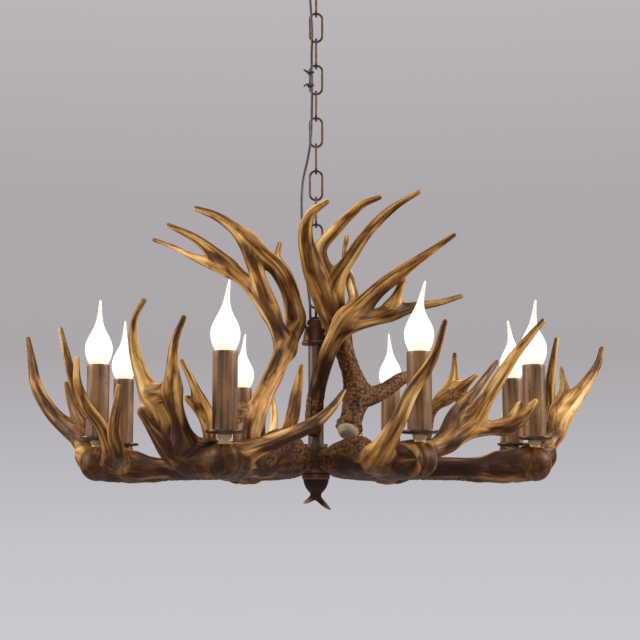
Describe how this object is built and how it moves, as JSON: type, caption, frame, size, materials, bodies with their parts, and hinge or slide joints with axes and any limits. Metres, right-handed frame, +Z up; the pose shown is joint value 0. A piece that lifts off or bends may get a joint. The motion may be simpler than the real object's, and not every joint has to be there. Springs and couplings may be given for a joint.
{
  "type": "chandelier",
  "caption": "Antler chandelier on a link chain: antlers round a hub carry candle sleeves with flame bulbs, upright antlers rise round the column.",
  "frame": {"origin": "centre of the ceiling plane, where the canopy and its bracket meet the ceiling", "axes": "+Z up, +Y away from the viewer of the front, +X to the viewer's right"},
  "size_m": [0.867, 0.7801, 0.8397],
  "materials": {
    "zinc_steel": "satin zinc",
    "bronze_paint": "satin bronze",
    "cord_black": "satin",
    "tie_black": "satin",
    "rust_paint": "satin reddish brown",
    "brown_paint": "satin dark brown",
    "dark_pan": "semi-gloss dark brown",
    "tan_resin": "satin tan",
    "antler_resin": "semi-gloss brown with pale ridges and tips",
    "sleeve_plastic": "satin tan-brown with streaks",
    "holder_plastic": "matt",
    "bulb_glass": "glowing white"
  },
  "bodies": {
    "ceiling": {"ceiling_bracket": "zinc_steel", "canopy": "bronze_paint", "canopy_nipple": "zinc_steel", "canopy_nut": "zinc_steel", "canopy_loop": "bronze_paint"},
    "top_link": {"chain_link_01": "bronze_paint"},
    "pendant": {"chain_link_02": "bronze_paint", "chain_link_03": "bronze_paint", "chain_link_04": "bronze_paint", "chain_link_05": "bronze_paint", "chain_link_06": "bronze_paint", "chain_link_07": "bronze_paint", "chain_link_08": "bronze_paint", "chain_link_09": "bronze_paint", "chain_link_10": "bronze_paint", "chain_link_11": "bronze_paint", "chain_link_12": "bronze_paint", "power_cord": "cord_black", "cable_ties": "tie_black", "top_loop": "bronze_paint", "hub_cover": "brown_paint", "finial": "rust_paint", "ring_antler_1": "antler_resin", "ring_antler_2": "antler_resin", "ring_antler_3": "antler_resin", "ring_antler_4": "antler_resin", "ring_antler_5": "antler_resin", "ring_antler_6": "antler_resin", "ring_antler_7": "antler_resin", "ring_antler_8": "antler_resin", "crown_antler_1": "antler_resin", "crown_antler_2": "antler_resin", "crown_antler_3": "antler_resin", "crown_pins": "zinc_steel", "collar": "rust_paint", "column": "brown_paint", "column_nuts": "zinc_steel", "hub": "brown_paint", "antler_screws": "zinc_steel", "candle_sleeve_1": "sleeve_plastic", "candle_sleeve_2": "sleeve_plastic", "candle_sleeve_3": "sleeve_plastic", "candle_sleeve_4": "sleeve_plastic", "candle_sleeve_5": "sleeve_plastic", "candle_sleeve_6": "sleeve_plastic", "candle_sleeve_7": "sleeve_plastic", "candle_sleeve_8": "sleeve_plastic", "bulb_1": "bulb_glass", "bulb_2": "bulb_glass", "bulb_3": "bulb_glass", "bulb_4": "bulb_glass", "bulb_5": "bulb_glass", "bulb_6": "bulb_glass", "bulb_7": "bulb_glass", "bulb_8": "bulb_glass", "drip_pans": "dark_pan", "candle_ferrules": "tan_resin", "candle_nipples": "zinc_steel", "lamp_holders": "holder_plastic"}
  },
  "joints": [
    {"name": "top_swing", "type": "hinge", "parent": "ceiling", "child": "top_link", "pos_m": [0, 0, -0.054], "axis": [1, 0, 0], "range_deg": [-8, 8], "deforming": ["power_cord"]},
    {"name": "side_swing", "type": "hinge", "parent": "top_link", "child": "pendant", "pos_m": [0, 0, -0.09445], "axis": [0, 1, 0], "range_deg": [-8, 8], "deforming": ["power_cord"]}
  ]
}
